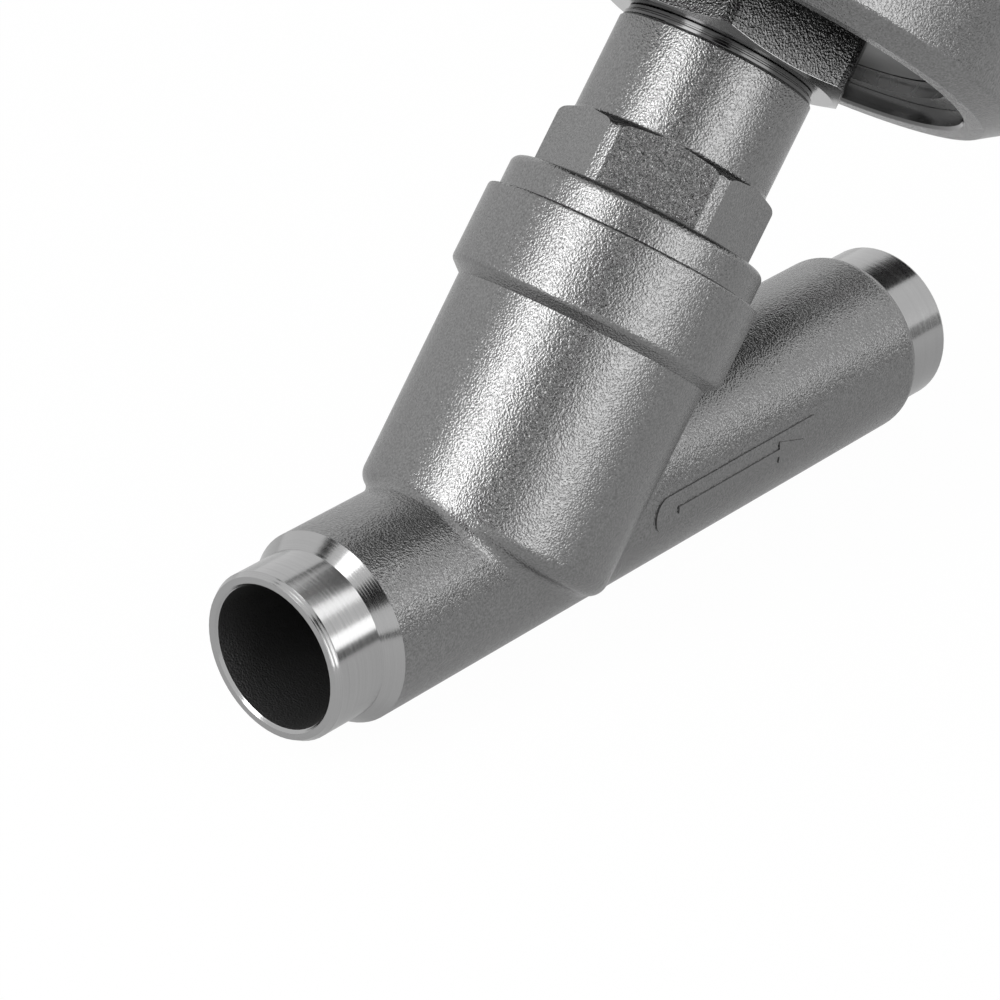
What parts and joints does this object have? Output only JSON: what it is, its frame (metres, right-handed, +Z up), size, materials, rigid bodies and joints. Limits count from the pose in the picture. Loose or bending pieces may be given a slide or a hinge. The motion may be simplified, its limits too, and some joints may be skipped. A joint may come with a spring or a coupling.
{
  "type": "angle seat valve",
  "caption": "Stainless angle seat valve with butt-weld ends, a leaning neck with a cast bonnet hexagon, and a spring-closing piston actuator.",
  "frame": {"origin": "centre of the inlet weld face", "axes": "+X along the pipe from inlet to outlet, +Z up; the neck leans towards the outlet in the XZ plane"},
  "size_m": [0.1464, 0.072, 0.1431],
  "materials": {
    "cast_stainless": "investment cast and glass-bead blasted, with turned ends",
    "turned_stainless": "fine turned",
    "polished_stainless": "polished",
    "spring_steel": "drawn, satin",
    "aluminium": "fine turned",
    "ptfe": "satin white",
    "bronze": "turned",
    "sintered_brass": "sintered grain",
    "seal_rubber": "black, satin",
    "indicator_plastic": "orange",
    "clear_plastic": "clear polycarbonate"
  },
  "bodies": {
    "valve": {"valve_body": "cast_stainless", "body_gasket": "ptfe", "bonnet": "cast_stainless", "guide_bush": "bronze", "packing_bottom_ring": "ptfe", "packing_chevrons": "ptfe", "packing_top_ring": "ptfe", "packing_spring": "spring_steel", "gland_bush": "bronze", "gland_orings": "seal_rubber", "stem_wiper": "seal_rubber", "gland_ring": "polished_stainless", "swivel_washer": "ptfe", "swivel_snap_ring": "spring_steel", "swivel_orings": "seal_rubber"},
    "plunger": {"stem": "turned_stainless", "plug_disc": "turned_stainless", "plug_seal": "ptfe", "plug_clamp": "turned_stainless", "plug_nut": "turned_stainless", "piston": "aluminium", "piston_seal": "seal_rubber", "piston_guide_ring": "ptfe", "piston_nut": "turned_stainless", "indicator_rod": "turned_stainless", "indicator_sleeve": "indicator_plastic"},
    "actuator": {"actuator_base": "cast_stainless", "base_oring": "seal_rubber", "retaining_ring": "spring_steel", "actuator_cylinder": "cast_stainless", "rod_oring": "seal_rubber", "outer_spring": "spring_steel", "inner_spring": "spring_steel", "indicator_cap": "clear_plastic", "vent_filter": "sintered_brass"}
  },
  "joints": [
    {"name": "stem_slide", "type": "slide", "parent": "valve", "child": "plunger", "axis": [0.628, 0, 0.7782], "range_m": [0, 0.008], "stiffness_N_per_m": 6000, "springref_m": -0.03, "deforming": ["outer_spring", "inner_spring"]},
    {"name": "actuator_turn", "type": "hinge", "parent": "valve", "child": "actuator", "pos_m": [0.08534, 0, 0.06226], "axis": [0.628, 0, 0.7782], "continuous": true}
  ]
}
